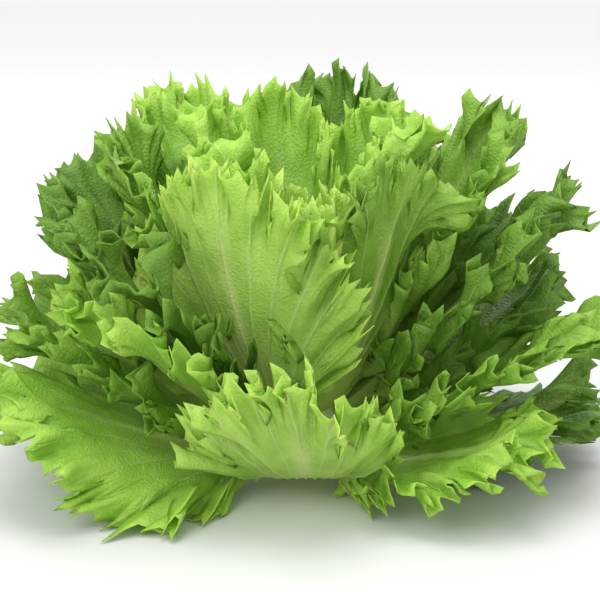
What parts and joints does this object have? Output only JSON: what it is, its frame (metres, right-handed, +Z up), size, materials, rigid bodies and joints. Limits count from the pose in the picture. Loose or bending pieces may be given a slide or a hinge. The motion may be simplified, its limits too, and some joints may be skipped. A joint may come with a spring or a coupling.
{
  "type": "frill lettuce",
  "caption": "Loose head of frill lettuce standing on its cut stem: rings of frilled, toothed leaves that spread low outside and stand up round a pale heart.",
  "frame": {"origin": "centre of the stem's cut face, on the surface that the head stands on", "axes": "+Z up along the stem, +X to the viewer's right and +Y away from the viewer who sees the two pale front leaves"},
  "size_m": [0.2893, 0.2601, 0.1799],
  "materials": {
    "stem": "satin",
    "ground_leaf": "satin",
    "low_leaf": "satin",
    "middle_leaf": "satin",
    "upright_leaf": "satin",
    "inner_leaf": "satin",
    "heart_leaf": "satin"
  },
  "bodies": {
    "root": {"ground_leaf_1": "ground_leaf", "ground_leaf_2": "ground_leaf", "ground_leaf_3": "ground_leaf", "ground_leaf_4": "ground_leaf", "ground_leaf_5": "ground_leaf", "ground_leaf_6": "ground_leaf", "ground_leaf_7": "ground_leaf", "heart_leaf_1": "heart_leaf", "heart_leaf_2": "heart_leaf", "heart_leaf_3": "heart_leaf", "heart_leaf_4": "heart_leaf", "heart_leaf_5": "heart_leaf", "inner_leaf_1": "inner_leaf", "inner_leaf_2": "inner_leaf", "inner_leaf_3": "inner_leaf", "inner_leaf_4": "inner_leaf", "inner_leaf_5": "inner_leaf", "inner_leaf_6": "inner_leaf", "low_leaf_1": "low_leaf", "low_leaf_2": "low_leaf", "low_leaf_3": "low_leaf", "low_leaf_4": "low_leaf", "low_leaf_5": "low_leaf", "low_leaf_6": "low_leaf", "middle_leaf_1": "middle_leaf", "middle_leaf_2": "middle_leaf", "middle_leaf_3": "middle_leaf", "middle_leaf_4": "middle_leaf", "middle_leaf_5": "middle_leaf", "stem": "stem", "upright_leaf_1": "upright_leaf", "upright_leaf_2": "upright_leaf", "upright_leaf_3": "upright_leaf", "upright_leaf_4": "upright_leaf", "upright_leaf_5": "upright_leaf", "upright_leaf_6": "upright_leaf"}
  },
  "joints": []
}
